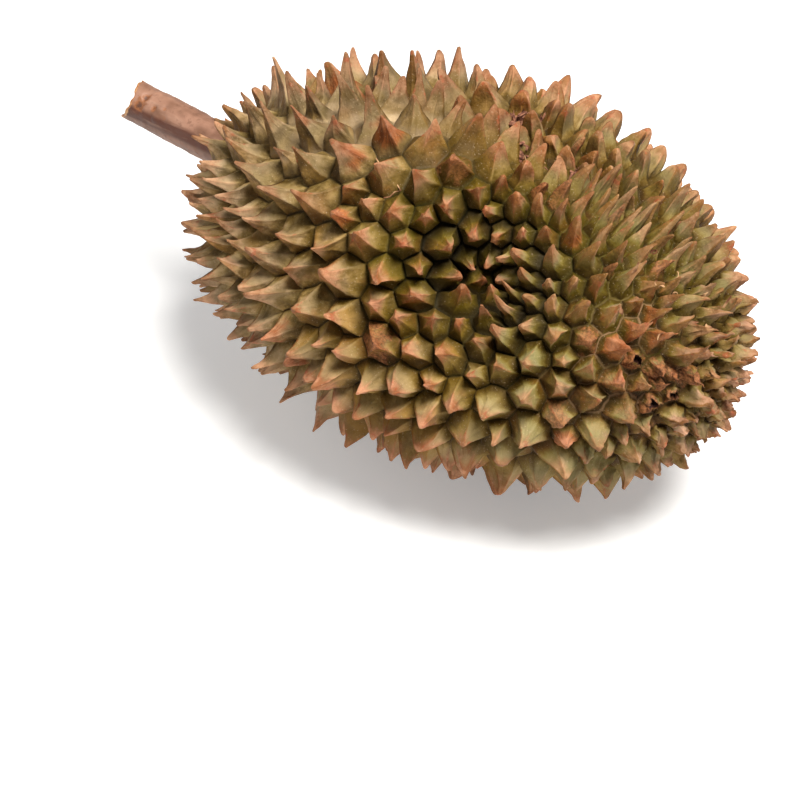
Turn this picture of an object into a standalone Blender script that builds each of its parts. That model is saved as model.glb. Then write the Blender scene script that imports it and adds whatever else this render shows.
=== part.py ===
"""A whole durian, as picked: the spiny husk lying on its side, and the woody stem in its seat at the left.

Metres, +Z up, the fruit's long axis along X with the stem towards -X. The finished fruit stands on Z = 0,
and the origin is under the middle of the box round husk and stem.

The husk is a long body of revolution with five shallow grooves, one deep dimple and a few low swellings. Its
skin is divided into cells round scattered sites, and each cell is raised into one many-sided spine.
Directions on a sphere stand for places on the body: a map that keeps angles carries one to the other.
"""

import math

import bmesh
import bpy
import numpy as np
from mathutils import Matrix, Vector

# ---- the husk's body, without its spines
HALF_LENGTH = 0.1280
HALF_WIDTH = 0.0735
GROOVES = (  # degrees up from the front, depth, width in degrees
    (103.0, 0.0160, 18.0),
    (24.0, 0.0050, 14.0),
    (-42.0, 0.0055, 14.0),
    (-112.0, 0.0055, 14.0),
    (176.0, 0.0060, 14.0),
)
SWELLINGS = (  # along the axis, degrees up from the front, height, width: the dimple, its core, rises
    (0.042, 45.0, -0.0180, 0.026),
    (0.042, 45.0, -0.0130, 0.013),
    (-0.034, 62.0, 0.0040, 0.036),
    (0.070, 30.0, 0.0035, 0.030),
    (0.020, -8.0, 0.0030, 0.034),
    (0.040, 130.0, 0.0058, 0.045),
)

# ---- the spines
SPACING = 0.0113  # no two spines stand closer than this amidships
STEM_END_SPACING = 0.70  # the same there, as a share
BLOSSOM_END_SPACING = 0.50
END_TAPER = 0.20  # share of the length over which the spacing shrinks towards each end
FINE_PATCHES = (  # along the axis, degrees up from the front, how much closer the spines stand, width
    (0.042, 45.0, 0.28, 0.022),
    (0.074, 76.0, 0.40, 0.026),
    (0.056, 112.0, 0.25, 0.036),
    (-0.080, 0.0, 0.16, 0.030),
    (-0.045, 84.0, -0.20, 0.027),
    (-0.006, 46.0, 0.14, 0.020),
)
CANDIDATES = 16000  # places tried for a spine, in a golden-angle spiral
GOLDEN_ANGLE = math.pi * (3.0 - math.sqrt(5.0))
SPINE_HEIGHT = 1.08  # amidships, over the square root of the cell's area, on a cell of the size below
HEIGHT_CELL = 0.0135
SLENDERNESS = 0.45  # how fast that grows on smaller cells
HEIGHT_FALL = 0.30  # how much that grows towards the stem end and shrinks towards the blossom end
TALLEST = 0.0195
SHORTER = ((-0.122, 90.0, 0.42, 0.026),)  # where spines are shorter: along, degrees, by what share, width
HEIGHT_SPREAD = 0.10
CROWDING = 0.75  # how far neighbours' tips may close up in a hollow, as a share of the spacing of their feet
LEAN = 0.10  # how far a tip strays sideways, over the cell's size
LEANING = (  # where the spines lie over: along, degrees up from the front, which way and how far, width
    (0.080, 84.0, (0.05, 0.40, 0.35), 0.026),
    (0.105, 45.0, (0.30, 0.15, 0.05), 0.022),
)
WAIST_AT = 0.30  # the spine's waist: how high it is, and how wide, as shares
WAIST_WIDTH = 0.69
WAIST_CELL = 0.0088  # a smaller cell's spine has straight sides and no waist
SEED = 2

# ---- the stem and its seat in the husk
STEM_RADIUS = 0.0095
STEM_RISE = 0.0100  # how far the seat is above the fruit's axis
SEAT_RIM = 0.0125
SEAT_CLEAR = 1.75  # no spine stands nearer the seat's middle than this many rims
SEAT_DEPTH = 0.0060
FIT_GAP = 0.0003
STEM_REACH = 0.0700  # from the husk's skin to the cut end
STEM_BEND = 0.0030  # how far the cut end is above the line of the seat
STEM_STEPS = 14
STEM_SWELL = 0.07  # how much thicker the stem is halfway than at its seat

# ---- how the fruit lies
TIP_WEAR = 0.0052  # how much of the lowest spines is blunted flat where they bear on the floor


def meridian_table():
    """Angles along the body's outline from the stem end, what they map to, and arc lengths a step."""
    outline = np.linspace(1e-4, math.pi - 1e-4, 4001)
    arc = np.hypot(HALF_LENGTH * np.sin(outline), HALF_WIDTH * np.cos(outline))
    rate = arc / (HALF_WIDTH * np.sin(outline))
    run = np.concatenate([[0.0], np.cumsum((rate[1:] + rate[:-1]) / 2 * np.diff(outline))])
    run -= np.interp(math.pi / 2, outline, run)
    return outline, 2.0 * np.arctan(np.exp(run)), arc


OUTLINE, POLAR, ARC = meridian_table()


def unit(vectors):
    return vectors / np.linalg.norm(vectors, axis=1, keepdims=True)


def directions_at(polar, turn):
    """Unit directions at polar angles from the stem end and turns up from the front."""
    return np.stack([-np.cos(polar), -np.sin(polar) * np.cos(turn), np.sin(polar) * np.sin(turn)], axis=-1)


def nearness(points, along, degrees, width):
    """1 at the place so far along the axis and so far round, and less the farther off, an (n,) array."""
    across = HALF_WIDTH * math.sqrt(1.0 - (along / HALF_LENGTH) ** 2)
    turn = math.radians(degrees)
    place = (along, -across * math.cos(turn), across * math.sin(turn))
    away = np.linalg.norm(points - place, axis=1) / width
    return np.exp(-(away**2) / 2)


def body_points(directions):
    """Points on the body for unit directions, an (n, 3) array each."""
    outline = np.interp(np.arccos(np.clip(-directions[:, 0], -1.0, 1.0)), POLAR, OUTLINE)
    turn = np.arctan2(directions[:, 2], -directions[:, 1])
    radius = HALF_WIDTH * np.sin(outline)
    for degrees, depth, width in GROOVES:
        away = (turn - math.radians(degrees) + math.pi) % (2 * math.pi) - math.pi
        radius = radius - depth * np.sin(outline) ** 1.5 * np.exp(-((away / math.radians(width)) ** 2))
    lengthwise = -HALF_LENGTH * np.cos(outline)
    points = np.stack([lengthwise, -radius * np.cos(turn), radius * np.sin(turn)], axis=1)
    outward = unit(points * [(HALF_WIDTH / HALF_LENGTH) ** 2, 1.0, 1.0])
    offset = np.zeros(len(points))
    for along, degrees, height, width in SWELLINGS:
        offset += height * nearness(points, along, degrees, width)
    return points + outward * offset[:, None]


def body_normals(directions):
    """Outward unit normals of the body there, from a small step each way."""
    helper = np.where(np.abs(directions[:, :1]) > 0.9, [[0.0, 1.0, 0.0]], [[1.0, 0.0, 0.0]])
    first = unit(np.cross(directions, helper))
    second = np.cross(directions, first)
    step = 0.02
    slopes = [
        body_points(unit(directions + step * way)) - body_points(unit(directions - step * way))
        for way in (first, second)
    ]
    return unit(np.cross(*slopes))


def spacing_at(points):
    """The least distance from each of those points to the next spine."""
    share = (points[:, 0] / HALF_LENGTH + 1.0) / 2
    spacing = SPACING * np.minimum(
        STEM_END_SPACING + (1.0 - STEM_END_SPACING) * np.clip(share / END_TAPER, 0.0, 1.0),
        BLOSSOM_END_SPACING + (1.0 - BLOSSOM_END_SPACING) * np.clip((1.0 - share) / END_TAPER, 0.0, 1.0),
    )
    for along, degrees, closer, width in FINE_PATCHES:
        spacing *= 1.0 - closer * nearness(points, along, degrees, width)
    return spacing


def spine_sites(random):
    """Unit directions of the spines: places tried in a random order, and kept where none is too close.

    The first site is the seat of the stem, and the spines keep clear of it.
    """
    total = np.cumsum(ARC * np.sin(OUTLINE))
    places = (np.arange(CANDIDATES) + 0.5) / CANDIDATES * total[-1]
    polar = np.interp(np.interp(places, total, OUTLINE), OUTLINE, POLAR)
    directions = directions_at(polar, np.arange(CANDIDATES) * GOLDEN_ANGLE)
    seat_polar = np.interp(math.asin(STEM_RISE / HALF_WIDTH), OUTLINE, POLAR)
    seat = directions_at(seat_polar, math.pi / 2)[None]
    points = body_points(directions)
    spacing = spacing_at(points)
    from_seat = np.linalg.norm(points - body_points(seat), axis=1)
    kept = []
    for k in random.permutation(CANDIDATES):
        near = np.linalg.norm(points[kept] - points[k], axis=1) < spacing[k]
        if from_seat[k] > SEAT_RIM * SEAT_CLEAR and not near.any():
            kept.append(k)
    return np.vstack([seat, directions[kept]])


def cells_round(sites):
    """The corners of the cells round the sites, as unit directions, and each cell's ring of corners."""
    hull = bmesh.new()
    for site in sites:
        hull.verts.new(site)
    bmesh.ops.convex_hull(hull, input=hull.verts[:])
    bmesh.ops.recalc_face_normals(hull, faces=hull.faces[:])
    hull.faces.index_update()
    corners = unit(np.array([face.calc_center_median() for face in hull.faces]))
    rings = []
    for vert in hull.verts:
        loop = vert.link_loops[0]
        ring = []
        for _ in vert.link_faces:
            ring.append(loop.face.index)
            loop = loop.link_loop_prev.link_loop_radial_next
        rings.append(ring)
    hull.free()
    return corners, rings


def relaxed(sites):
    """The sites moved to the middle of their cells, but for the stem's, which stays."""
    corners, rings = cells_round(sites)
    middles = unit(np.array([corners[ring].mean(axis=0) for ring in rings]))
    middles[0] = sites[0]
    return middles


def tightest_closing(feet, normals, rings):
    """How fast each spine's tip closes up on the nearest of its neighbours' tips, per metre of height."""
    closing = np.zeros(len(feet))
    corner_cells = {}
    for cell, ring in enumerate(rings):
        for corner in ring:
            corner_cells.setdefault(corner, []).append(cell)
    for cells in corner_cells.values():
        for one in cells:
            for other in cells:
                if one != other:
                    apart = feet[other] - feet[one]
                    rate = (normals[one] - normals[other]) @ apart / (apart @ apart)
                    closing[one] = max(closing[one], rate)
    return closing


def raise_spine(mesh, face, foot, tip, waisted):
    """Turns one cell's face into a spine: its middle goes up to the tip, over a waist if it has one."""
    if waisted:
        face = bmesh.ops.extrude_discrete_faces(mesh, faces=[face])["faces"][0]
        for vert in face.verts:
            vert.co = foot + (vert.co - foot) * WAIST_WIDTH + (tip - foot) * WAIST_AT
    crown = bmesh.ops.poke(mesh, faces=[face])["verts"][0]
    crown.co = tip


def spine_tips(feet, normals, sizes, limits, random):
    """The tips of all the spines: up along the normal, lying over in places, and each astray a little."""
    ratio = (SPINE_HEIGHT - HEIGHT_FALL * feet[:, 0] / HALF_LENGTH) * (HEIGHT_CELL / sizes) ** SLENDERNESS
    height = np.minimum(np.minimum(sizes * ratio, TALLEST), limits)
    height *= random.normal(1.0, HEIGHT_SPREAD, len(feet))
    for along, degrees, share, width in SHORTER:
        height *= 1.0 - share * nearness(feet, along, degrees, width)
    reach = normals * height[:, None]
    for along, degrees, way, width in LEANING:
        reach += np.outer(height * nearness(feet, along, degrees, width), way)
    return feet + reach + random.normal(0.0, 1.0, feet.shape) * LEAN * sizes[:, None]


def husk_mesh():
    """The husk as a closed bmesh about the body's centre, flat at the seat, and that flat face's X."""
    random = np.random.default_rng(SEED)
    sites = relaxed(spine_sites(random))
    corners, rings = cells_round(sites)
    points = body_points(corners)
    seat = points[rings[0]]
    seat_x = seat[:, 0].max()
    middle = np.array([0.0, STEM_RISE])
    points[rings[0], 0] = seat_x
    points[rings[0], 1:] = middle + unit(seat[:, 1:] - middle) * SEAT_RIM

    mesh = bmesh.new()
    verts = [mesh.verts.new(point) for point in points]
    faces = [mesh.faces.new([verts[k] for k in ring]) for ring in rings]
    feet = np.array([face.calc_center_median() for face in faces])
    normals = body_normals(sites)
    sizes = np.array([math.sqrt(face.calc_area()) for face in faces])
    limits = CROWDING / np.maximum(tightest_closing(feet, normals, rings), 1.0)
    tips = spine_tips(feet, normals, sizes, limits, random)
    for k in range(1, len(faces)):
        raise_spine(mesh, faces[k], Vector(feet[k]), Vector(tips[k]), sizes[k] > WAIST_CELL)
    bmesh.ops.triangulate(mesh, faces=mesh.faces[:])
    bmesh.ops.recalc_face_normals(mesh, faces=mesh.faces[:])
    return mesh, seat_x


def blunt_lowest_tips(mesh, level):
    """Cuts the spines flat at that level, where they bear on the floor, and closes the cuts."""
    cut = bmesh.ops.bisect_plane(
        mesh,
        geom=mesh.verts[:] + mesh.edges[:] + mesh.faces[:],
        plane_co=(0.0, 0.0, level),
        plane_no=(0.0, 0.0, 1.0),
        clear_inner=True,
    )
    rims = [edge for edge in cut["geom_cut"] if isinstance(edge, bmesh.types.BMEdge)]
    bmesh.ops.holes_fill(mesh, edges=rims, sides=0)
    bmesh.ops.triangulate(mesh, faces=[face for face in mesh.faces if len(face.verts) > 3])


def husk_object(mesh, shift):
    """The husk as an object, with its mesh moved so that the fruit stands at its place."""
    bmesh.ops.translate(mesh, verts=mesh.verts[:], vec=shift)
    data = bpy.data.meshes.new("husk")
    mesh.to_mesh(data)
    mesh.free()
    return bpy.data.objects.new("husk", data)


def stem_line(seat_x):
    """The stem's middle line from the seat's floor to the cut end, as (point, radius share) pairs."""
    start = Vector((seat_x + SEAT_DEPTH - FIT_GAP, 0.0, STEM_RISE))
    line = [(start, 1.0)]
    for step in range(STEM_STEPS + 1):
        along = step / STEM_STEPS
        place = Vector((seat_x - STEM_REACH * along, 0.0, STEM_RISE + STEM_BEND * along**2))
        line.append((place, 1.0 + STEM_SWELL * math.sin(math.pi * along)))
    return line


def stem_object(line, shift):
    """The stem as a tube curve with filled caps."""
    curve = bpy.data.curves.new("stem", "CURVE")
    curve.dimensions = "3D"
    curve.bevel_depth = STEM_RADIUS
    curve.bevel_resolution = 4
    curve.use_fill_caps = True
    spline = curve.splines.new("POLY")
    spline.points.add(len(line) - 1)
    for point, (place, share) in zip(spline.points, line):
        point.co = (*(place + shift), 1.0)
        point.radius = share
    spline.use_smooth = True
    return bpy.data.objects.new("stem", curve)


def seat_cutter(seat_x, shift):
    """The drill that makes the seat: as wide as the stem and its gap, and out through the husk's skin."""
    length = 4 * SEAT_DEPTH
    middle = Vector((seat_x + SEAT_DEPTH - length / 2, 0.0, STEM_RISE)) + shift
    drill = bmesh.new()
    bmesh.ops.create_cone(
        drill,
        cap_ends=True,
        segments=24,
        radius1=STEM_RADIUS + FIT_GAP,
        radius2=STEM_RADIUS + FIT_GAP,
        depth=length,
        matrix=Matrix.Translation(middle) @ Matrix.Rotation(math.pi / 2, 4, "Y"),
    )
    data = bpy.data.meshes.new("seat_cutter")
    drill.to_mesh(data)
    drill.free()
    cutter = bpy.data.objects.new("seat_cutter", data)
    cutter.hide_render = True
    cutter.display_type = "WIRE"
    return cutter


def cut(target, cutter):
    """A Boolean difference, kept as a modifier."""
    modifier = target.modifiers.new("seat", "BOOLEAN")
    modifier.operation = "DIFFERENCE"
    modifier.solver = "EXACT"
    modifier.object = cutter


def material(name, colour, roughness):
    """A plain Principled material."""
    made = bpy.data.materials.new(name)
    made.use_nodes = True
    shader = made.node_tree.nodes["Principled BSDF"]
    shader.inputs["Base Color"].default_value = (*colour, 1.0)
    shader.inputs["Roughness"].default_value = roughness
    shader.inputs["Metallic"].default_value = 0.0
    return made


def main():
    for obj in list(bpy.data.objects):
        bpy.data.objects.remove(obj)
    durian = bpy.data.collections.new("durian")
    cutters = bpy.data.collections.new("cutters")
    for collection in (durian, cutters):
        bpy.context.scene.collection.children.link(collection)

    mesh, seat_x = husk_mesh()
    floor = min(vert.co.z for vert in mesh.verts) + TIP_WEAR
    blunt_lowest_tips(mesh, floor)
    far_x = max(vert.co.x for vert in mesh.verts)
    near_y = min(vert.co.y for vert in mesh.verts)
    far_y = max(vert.co.y for vert in mesh.verts)
    cut_end_x = seat_x - STEM_REACH
    shift = Vector((-(far_x + cut_end_x) / 2, -(near_y + far_y) / 2, -floor))

    husk = husk_object(mesh, shift)
    husk.data.materials.append(material("husk", (0.30, 0.24, 0.12), 0.70))
    stem = stem_object(stem_line(seat_x), shift)
    stem.data.materials.append(material("stem", (0.26, 0.15, 0.10), 0.65))
    cutter = seat_cutter(seat_x, shift)
    cut(husk, cutter)
    for obj in (husk, stem):
        durian.objects.link(obj)
    cutters.objects.link(cutter)


main()
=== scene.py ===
"""The looks of a whole durian: its spiny husk in fine detail, its stem, the crumbs caught between the spines,
and the floor, lights and camera.

The husk follows the rule that the CAD husk was made by: the same body, the same sites and the same spines.
Each spine here also has ridges, hollowed or swelling sides, a worn tip and a curve of its own.
"""

import math

import bmesh
import bpy
import numpy as np
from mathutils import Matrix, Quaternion, Vector, noise


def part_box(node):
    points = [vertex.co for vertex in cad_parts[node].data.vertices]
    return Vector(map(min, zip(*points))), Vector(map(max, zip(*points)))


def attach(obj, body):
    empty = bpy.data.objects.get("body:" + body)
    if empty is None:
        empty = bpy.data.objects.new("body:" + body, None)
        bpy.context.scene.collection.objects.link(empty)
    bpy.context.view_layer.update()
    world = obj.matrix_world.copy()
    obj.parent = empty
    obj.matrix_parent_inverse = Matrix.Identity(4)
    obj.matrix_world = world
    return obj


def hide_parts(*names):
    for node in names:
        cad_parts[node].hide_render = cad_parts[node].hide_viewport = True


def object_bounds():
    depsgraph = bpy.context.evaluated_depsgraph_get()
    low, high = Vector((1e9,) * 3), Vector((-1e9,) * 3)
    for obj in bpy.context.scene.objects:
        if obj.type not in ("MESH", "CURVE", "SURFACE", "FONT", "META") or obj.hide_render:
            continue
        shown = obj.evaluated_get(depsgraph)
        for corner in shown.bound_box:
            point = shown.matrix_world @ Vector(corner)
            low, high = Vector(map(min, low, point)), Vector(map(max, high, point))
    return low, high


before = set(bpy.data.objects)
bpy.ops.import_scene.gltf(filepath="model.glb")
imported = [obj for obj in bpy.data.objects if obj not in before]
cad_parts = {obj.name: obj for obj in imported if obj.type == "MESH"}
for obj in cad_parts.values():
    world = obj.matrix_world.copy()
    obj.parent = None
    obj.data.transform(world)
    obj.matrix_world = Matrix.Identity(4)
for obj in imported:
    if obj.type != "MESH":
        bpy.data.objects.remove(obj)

CAD_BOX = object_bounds()

# ---- the husk's body, without its spines, as in the CAD
HALF_LENGTH = 0.1280
HALF_WIDTH = 0.0735
GROOVES = (  # degrees up from the front, depth, width in degrees
    (103.0, 0.0160, 18.0),
    (24.0, 0.0050, 14.0),
    (-42.0, 0.0055, 14.0),
    (-112.0, 0.0055, 14.0),
    (176.0, 0.0060, 14.0),
)
SWELLINGS = (  # along the axis, degrees up from the front, height, width: rises, and the dimple with its core
    (0.042, 45.0, -0.0180, 0.026),
    (0.042, 45.0, -0.0130, 0.013),
    (-0.034, 62.0, 0.0040, 0.036),
    (0.070, 30.0, 0.0035, 0.030),
    (0.020, -8.0, 0.0030, 0.034),
    (0.040, 130.0, 0.0058, 0.045),
)

# ---- the spines, as in the CAD
SPACING = 0.0113  # no two spines stand closer than this amidships
STEM_END_SPACING = 0.70  # the same there, as a share
BLOSSOM_END_SPACING = 0.50
END_TAPER = 0.20  # share of the length over which the spacing shrinks towards each end
FINE_PATCHES = (  # along the axis, degrees up from the front, how much closer the spines stand, width
    (0.042, 45.0, 0.28, 0.022),
    (0.074, 76.0, 0.40, 0.026),
    (0.056, 112.0, 0.25, 0.036),
    (-0.080, 0.0, 0.16, 0.030),
    (-0.045, 84.0, -0.20, 0.027),
    (-0.006, 46.0, 0.14, 0.020),
)
CANDIDATES = 16000  # places tried for a spine, in a golden-angle spiral
GOLDEN_ANGLE = math.pi * (3.0 - math.sqrt(5.0))
SPINE_HEIGHT = 1.08  # amidships, over the square root of the cell's area, on a cell of the size below
HEIGHT_CELL = 0.0135
SLENDERNESS = 0.45  # how fast that grows on smaller cells
HEIGHT_FALL = 0.30  # how much that grows towards the stem end and shrinks towards the blossom end
TALLEST = 0.0195
SHORTER = ((-0.122, 90.0, 0.42, 0.026),)  # where the spines are shorter: along, degrees, by what share, width
HEIGHT_SPREAD = 0.10
CROWDING = 0.75  # how far neighbours' tips may close up in a hollow, as a share of the spacing of their feet
LEAN = 0.10  # how far a tip strays sideways, over the cell's size
LEANING = (  # where the spines lie over: along, degrees up from the front, which way and how far, width
    (0.080, 84.0, (0.05, 0.40, 0.35), 0.026),
    (0.105, 45.0, (0.30, 0.15, 0.05), 0.022),
)
SEED = 2

# ---- the stem and its seat in the husk, as in the CAD
STEM_RADIUS = 0.0095
STEM_RISE = 0.0100  # how far the seat is above the fruit's axis
SEAT_RIM = 0.0125
SEAT_CLEAR = 1.75  # no spine stands nearer the seat's middle than this many rims
SEAT_DEPTH = 0.0060
FIT_GAP = 0.0003
STEM_REACH = 0.0700  # from the husk's skin to the cut end
STEM_BEND = 0.0030  # how far the cut end is above the line of the seat
STEM_SWELL = 0.07  # how much thicker the stem is halfway than at its seat

# ---- how the fruit lies, as in the CAD
TIP_WEAR = 0.0052  # how much of the lowest spines is blunted flat where they bear on the floor

# ---- regions of the husk, as round patches: along the axis, degrees up from the front, strength, width
DIMPLE = ((0.042, 45.0, 1.7, 0.018), (0.026, 44.0, 0.5, 0.012), (0.056, 38.0, 0.4, 0.012))
BLOSSOM_END = ((0.126, 30.0, 1.0, 0.032),)
SCABBY = ((0.106, 18.0, 0.9, 0.014), (0.112, 44.0, 0.7, 0.012))
# where the spines are swelling and round-tipped:
BUDS = (
    (0.064, 58.0, 1.0, 0.015),
    (0.079, 54.0, 0.7, 0.011),
    (0.030, 52.0, 0.6, 0.012),
    (0.048, 68.0, 0.7, 0.012),
)
# thick and blunt:
FINGERS = ((-0.010, 116.0, 0.4, 0.022), (0.020, 118.0, 1.0, 0.028), (0.052, 122.0, 0.8, 0.028))
# narrow and hollow-sided:
HORNS = ((-0.022, 90.0, 1.0, 0.026), (-0.060, 100.0, 0.6, 0.024))
# flattened, and lying over:
BLADES = ((0.076, 80.0, 1.0, 0.024), (0.104, 84.0, 0.9, 0.024), (0.098, 62.0, 0.7, 0.014))
# broad and low, with flat faces:
FLAT_LOW = ((0.088, 30.0, 1.0, 0.020),)
# where they are of another colour, or the skin between them is:
RUSTY = (
    (0.104, 32.0, 0.9, 0.014),
    (0.106, 48.0, 0.8, 0.009),
    (-0.021, 69.0, 0.9, 0.009),
    (-0.046, 67.0, 0.5, 0.008),
)
GREEN = (
    (0.046, 50.0, 0.9, 0.030),
    (0.080, 66.0, 0.8, 0.026),
    (0.012, 42.0, 0.8, 0.016),
    (0.100, 88.0, 0.5, 0.020),
)
SAGE = (
    (0.104, -10.0, 1.0, 0.034),
    (0.096, 84.0, 0.9, 0.030),
    (0.080, 28.0, 0.5, 0.020),
    (0.060, 112.0, 0.5, 0.030),
)
# painted shade: where the spines are darkened all over
SHADE_PATCHES = ((-0.052, 84.0, 1.0, 0.030), (-0.030, 96.0, 0.8, 0.026))
CREAM = ((-0.041, 90.0, 1.0, 0.016), (-0.064, 72.0, 0.5, 0.012))
NET = ((0.103, 34.0, 1.0, 0.015), (0.108, 48.0, 1.0, 0.012), (0.110, 18.0, 0.8, 0.012))  # pale raised creases
BROKEN = ((0.111, 14.0), (0.104, 44.0), (0.117, 30.0))  # spines with their tops gone: along, degrees
STEMWARD = (-0.010, 0.050)  # how far from the middle towards the stem its kind of spine sets in, and is full
FAR_SIDE = (70.0, 105.0, 150.0, 190.0)  # degrees between which the far side's kind sets in, and fades again
# the characters of a spine that its material reads
PAINTED = ("tone", "hurt", "rust", "pale", "green", "sage")
PAINTED += ("cream", "hollow", "pit", "ragged", "net", "shade_patch")

# ---- the spines' finer form
LONG_EDGE = 0.0050  # a cell's side longer than this has three points between its corners, and others one
LONG_STOPS = (0.14, 0.5, 0.86)
SHORT_STOPS = (0.5,)
CREASE_DEPTH = 0.0010
DIMPLE_CREASE = 0.0075  # how much deeper the creases are in the dimple
RAISED_NET = 0.0015  # how much shallower they are where the skin is scabby, so that they stand up as a net
LEVELS = (0.04, 0.16, 0.32, 0.50, 0.67, 0.82, 0.92, 0.98)  # heights of the rings of points up a spine
TIP_RADIUS = (0.0004, 0.0011)  # how round the tips are, at random between these
TIP_RADIUS_LIMITS = (0.0003, 0.0022)  # and with what their regions add
SIDES = (3, 4, 4, 4, 5)  # how many main ridges a spine has, any of these alike
HURT_CHANCE = 0.02
RUST_CHANCE = 0.04
BREAK_AT = 0.50  # how high a broken spine still stands
PAINTED_LIGHT_WAY = (0.45, 0.25, 0.85)  # painted light and shade: sides of spines that face this way are painted paler, those facing away darker
SIDE_WAY = (0.0, 0.3, 1.0)  # nearly no spine points this way, so it gives each one a side to count turns from
LUMPS = (0.0009, 0.009)  # how far the whole skin is moved by slow noise, and how long its waves are
ROUGHNESS = (0.0003, 0.002)  # the same for the fine noise
RAGGEDNESS = 0.0014  # how much farther the fine noise moves it at the blossom end
LOOKS_SEED = 5
SEAT_PROFILE = (  # radius and depth of the seat's rings, from its lip in to its floor
    (STEM_RADIUS + 3 * FIT_GAP, -0.0006),
    (STEM_RADIUS + FIT_GAP, 0.0004),
    (STEM_RADIUS + FIT_GAP, SEAT_DEPTH),
)

# ---- the stem's finer form: shares are of the reach, and turns are round from +Y towards +Z
STEM_SIDES = 72
STEM_RINGS = 130
STEM_RELIEF_FROM = 0.006  # how far out of the seat its lumps are full
STEM_LIP = 0.06  # how much wider the very end is
STEM_LIP_FROM = 0.86  # share from which it widens
STEM_TORN = 0.0022  # how ragged the end is
STEM_TORN_FROM = 0.93
STEM_BREAK = 0.0052  # how far the end is broken back on one side
STEM_BREAK_TURN = 2.39
STEM_BREAK_FROM = 0.78
STEM_SPUR = 0.0036  # how far it sticks out beside that
STEM_SPUR_TURN = 3.75
STEM_SPUR_WIDTH = 0.55
STEM_PITS = (  # share, turn, size, depth
    (0.84, 1.95, 0.0016, 0.0013),
    (0.86, 2.50, 0.0024, 0.0011),
    (0.74, 2.25, 0.0013, 0.0010),
    (0.66, 2.05, 0.0010, 0.0008),
    (0.70, 2.70, 0.0015, -0.0006),
    (0.80, 1.40, 0.0016, -0.0005),
    (0.64, 2.45, 0.0018, 0.0006),
    (0.45, 4.40, 0.0020, 0.0007),
    (0.78, 5.30, 0.0017, 0.0009),
)
PIT_LIP = 0.25  # how high the lip round a pit is, over the pit's depth, and how far out, over its size
PIT_LIP_AT = 1.7
BARE_PIT = 0.0016  # a pit this deep would be wholly bare
STEM_SHADE_TURN = 2.75  # where a dark band of painted shade runs along the stem
STEM_SHADE_WIDTH = 0.38
CUT_END_RINGS = ((0.93, -0.0002), (0.80, 0.0009), (0.55, 0.0004), (0.25, 0.0007))  # share of the radius, sunk

# ---- crumbs caught between the spines
CRUMB_CLUMPS = (  # along the axis, degrees up from the front, how many crumbs, how far they spread
    (0.004, 108.0, 70, 0.0040),
    (0.022, 100.0, 60, 0.0036),
    (0.046, 102.0, 16, 0.0030),
)
CRUMB_SIZE = (0.0006, 0.0019)
CRUMB_STRETCH = ((0.2, 0.4, 1.0), (0.5, 1.1, 2.4))  # least and most, along each of its own axes
CRUMB_RISE = 0.0030  # how high above the skin they lie, and the least
CRUMB_LOWEST = 0.0006
CRUMB_UNEVEN = 0.9

# ---- dry scraps: torn skin curling off the tips of spines, and brown strips lying in the hollow on top
SCRAPS = (  # along the axis, degrees up from the front, how many, how high up a spine they start
    (0.101, 70.0, 3, 0.85),
    (0.113, 79.0, 3, 0.85),
    (0.094, 75.0, 2, 0.80),
    (0.091, 59.0, 2, 0.80),
    (0.110, 55.0, 2, 0.70),
    (-0.009, 105.0, 5, 0.20),
    (0.008, 102.0, 5, 0.20),
    (0.022, 100.0, 5, 0.20),
    (0.036, 104.0, 4, 0.20),
)
SCRAP_STEPS = 9
SCRAP_LENGTH = 0.0075
SCRAP_WIDTH = 0.0022
SCRAP_SHARE = (0.4, 1.0)  # how long and how wide a scrap is, over those
SCRAP_THICKNESS = 0.0003
SCRAP_ASTRAY = 0.55  # how far it turns from its spine's way
SCRAP_OFF = 0.0008  # how far off its spine's middle it starts
SCRAP_CURL = 2.2  # how far it curls over its whole length, and twists at each step, in radians
SCRAP_TWIST = 0.12
# a strand that lies on the husk: along, degrees
THREAD = ((-0.014, 62.0), (-0.009, 59.0), (-0.004, 55.0), (0.000, 51.0))
THREAD_STOPS = (0.0, 0.33, 0.67)  # its points between one place and the next
THREAD_RADIUS = 0.00022
THREAD_RISE = 0.0016
THREAD_SWAY = 0.0006

# ---- the camera
BODY_MIDDLE = (-0.0004, -0.0017, 0.0014)  # the point that the camera turns round, from the body's centre
CAMERA_AZIMUTH = 35.5
CAMERA_ELEVATION = 37.0
CAMERA_LENS = 85.0
CAMERA_DISTANCE = 0.812
AIM_LEFT = 0.0236  # how far the camera aims beside and below that point, so the fruit is up in the picture
AIM_BELOW = 0.0559

# ---- the floor and the lights: their places from the same point, sizes across, and powers in watts
FLOOR_SIZE = 24.0
FLOOR_GLOW = 0.30
SURROUND = 0.21
KEY = ((0.42, -0.10, 1.08), 0.60, 28.0, (1.0, 0.985, 0.95))
FILL = ((-0.95, -0.35, 0.60), 0.90, 2.2, (1.0, 1.0, 1.0))


# ======================================================================== the rule of the husk, as in the CAD


def meridian_table():
    """Angles along the body's outline from the stem end, what they map to, and arc lengths a step."""
    outline = np.linspace(1e-4, math.pi - 1e-4, 4001)
    arc = np.hypot(HALF_LENGTH * np.sin(outline), HALF_WIDTH * np.cos(outline))
    rate = arc / (HALF_WIDTH * np.sin(outline))
    run = np.concatenate([[0.0], np.cumsum((rate[1:] + rate[:-1]) / 2 * np.diff(outline))])
    run -= np.interp(math.pi / 2, outline, run)
    return outline, 2.0 * np.arctan(np.exp(run)), arc


OUTLINE, POLAR, ARC = meridian_table()


def unit(vectors):
    return vectors / np.linalg.norm(vectors, axis=-1, keepdims=True)


def directions_at(polar, turn):
    """Unit directions at polar angles from the stem end and turns up from the front."""
    return np.stack([-np.cos(polar), -np.sin(polar) * np.cos(turn), np.sin(polar) * np.sin(turn)], axis=-1)


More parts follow.
